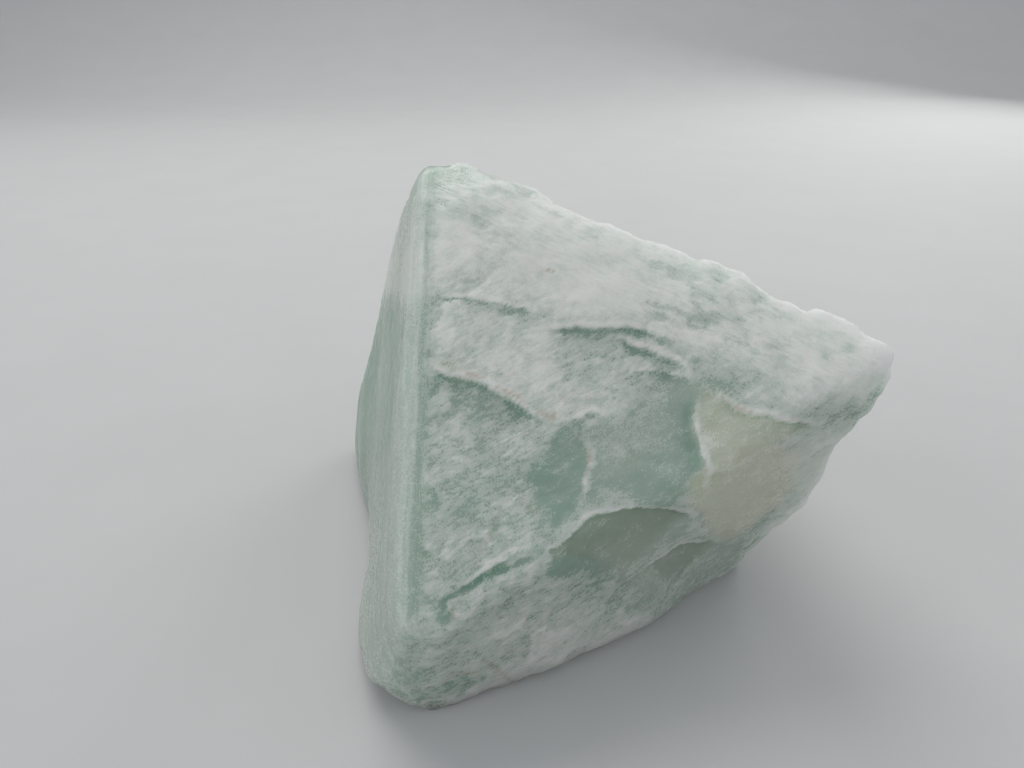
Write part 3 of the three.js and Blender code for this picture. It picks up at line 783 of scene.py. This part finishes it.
def fluorite():
    """Milky sea green fluorite: frosted white where it is flaked, clear and deeper green in its hollows, with
    painted highlights and painted shade mixed into its colours.
    """
    f = Finish("frosted_fluorite")
    place = f.attribute("place", "Vector")
    speckle = f.noise(place, scale=1.1, detail=4.0, roughness=0.8)
    sugar = f.noise(place, scale=6.0, detail=1.0, roughness=0.8)
    rise, fall, drop = (f.fibres(grain, scale=3.0) for grain in GRAINS)
    fibres = rise + fall + drop
    lively = 1.0 - f.attribute("polish") * 0.55
    flaked = ((speckle - 0.5) * 1.4 + (fibres - 0.5) * 1.1) * lively
    frost_and_painted_light = f.attribute("frost_and_painted_light") + flaked + (sugar - 0.5) * 0.9
    veil = frost_and_painted_light.clamped(-0.1, 1.35)
    # Pale body: white patches, with painted light on the right tip, and less of it at the painted shade of
    # the top corner
    body = f.mix(f.attribute("pale"), MINT, PALE)
    # Teal: clear green, with painted shade along the crack, under the upper step and in the wide hollows
    body = f.mix(f.attribute("teal_and_shade"), body, TEAL_AND_SHADE)
    # Olive: clear ground below the lower rims, with painted shade darkest at each rim
    body = f.mix(f.attribute("olive_and_shade"), body, OLIVE_AND_SHADE)
    body = f.mix(f.attribute("tawny") * 0.8, body, TAWNY)
    # White veil: frost, painted highlights on the flakes' walls and painted light on the right tip, thinned
    # by the painted shade at the top corner
    colour = f.mix(veil, body, FROST_AND_PAINTED_LIGHT)
    colour = f.mix(f.attribute("rust") * (0.15 + speckle * 0.8), colour, RUST)
    relief = {"Strength": 0.5, "Distance": 0.12 * MM, "Height": fibres + speckle * 0.6}
    sockets = {
        "Base Color": colour,
        "Roughness": 0.24 + veil * 0.28,
        "Normal": f.node("ShaderNodeBump", {}, relief),
        "IOR": 1.434,
        "Transmission Weight": 0.25,
        "Subsurface Weight": 1.0,
        "Subsurface Radius": (0.85, 1.05, 0.97),
        "Subsurface Scale": 8.0 * MM,
    }
    return f.shader(sockets, {"Color": (0.70, 0.86, 0.78, 1.0), "Density": 18.0})


def crystal():
    """The whole crystal, in place of its plain solid."""
    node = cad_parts["fluorite_crystal"]
    blank = Skin(evenly_faced(joined(node)))
    for name, share in EASED.items():
        ease(blank, name, share)
    blank.store()
    skin = Skin(evenly_faced(blank.mesh))
    colour_places(skin, roughen(skin))
    skin.store()
    skin.mesh.shade_smooth()
    skin.mesh.materials.append(fluorite())
    piece = bpy.data.objects.new("crystal_skin", skin.mesh)
    bpy.context.scene.collection.objects.link(piece)
    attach(piece, "root")
    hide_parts("fluorite_crystal")


# Floor, light and view


def floor():
    """A plain pale floor that runs up into a backdrop a long way behind."""
    half, back, bend, rise = 1.5, 0.45, 0.5, 1.5
    steps = 12
    turn = [math.pi / 2 * i / steps for i in range(steps + 1)]
    curve = [(back + bend * math.sin(t), bend * (1 - math.cos(t))) for t in turn]
    profile = [(-half, 0.0), *curve, (back + bend, bend + rise)]
    verts = [(x, y, z) for x in (-2 * half, 2 * half) for y, z in profile]
    count = len(profile)
    faces = [(i, count + i, count + i + 1, i + 1) for i in range(count - 1)]
    mesh = bpy.data.meshes.new("floor")
    mesh.from_pydata(verts, [], faces)
    mesh.shade_smooth()
    f = Finish("pale_floor")
    place = f.node("ShaderNodeTexCoord", {}, {}, "Object")
    tone = f.noise(place, scale=40.0, detail=3.0)
    grey = f.mix(tone, (0.48, 0.48, 0.475), (0.52, 0.52, 0.515))
    mesh.materials.append(f.shader({"Base Color": grey, "Roughness": 0.7}))
    sheet = bpy.data.objects.new("floor", mesh)
    bpy.context.scene.collection.objects.link(sheet)


def softbox(name, place, size, power, colour):
    """A round soft light, aimed at the crystal."""
    lamp = bpy.data.lights.new(name, "AREA")
    lamp.shape = "DISK"
    lamp.size = size
    lamp.energy = power
    lamp.color = colour
    stand = bpy.data.objects.new(name, lamp)
    stand.location = place
    aim = Vector((0, 0, 0.02)) - Vector(place)
    stand.rotation_euler = aim.to_track_quat("-Z", "Y").to_euler()
    bpy.context.scene.collection.objects.link(stand)


def studio():
    """Plain soft light from above and behind, filled in from the left and all round."""
    softbox("sky_panel", (-0.15, 0.30, 0.55), size=0.5, power=1.9, colour=(1.0, 0.99, 0.97))
    softbox("back_panel", (0.30, 0.42, 0.24), size=0.4, power=0.7, colour=(1.0, 1.0, 0.98))
    softbox("side_panel", (-0.55, -0.25, 0.35), size=0.4, power=0.5, colour=(0.95, 0.98, 1.0))
    world = bpy.data.worlds.new("studio")
    world.use_nodes = True
    sky = world.node_tree.nodes["Background"].inputs
    sky["Color"].default_value = (0.92, 0.95, 1.0, 1.0)
    sky["Strength"].default_value = 0.66
    bpy.context.scene.world = world
    bpy.context.scene.view_settings.view_transform = "Standard"


def camera():
    """The view from close in front, looking down at the broad stepped face."""
    lens = bpy.data.cameras.new("camera")
    lens.sensor_width = SENSOR
    lens.lens = FOCAL_PIXELS / IMAGE_WIDTH * SENSOR
    lens.clip_start = 0.005
    stand = bpy.data.objects.new("camera", lens)
    x, y = CENTRE[:2] + CAMERA_FROM_CENTRE
    stand.location = (x * MM, y * MM, CAMERA_HEIGHT * MM)
    stand.rotation_euler = (math.radians(90 - CAMERA_PITCH), 0, 0)
    bpy.context.scene.collection.objects.link(stand)
    bpy.context.scene.camera = stand


camera()
floor()
studio()
crystal()
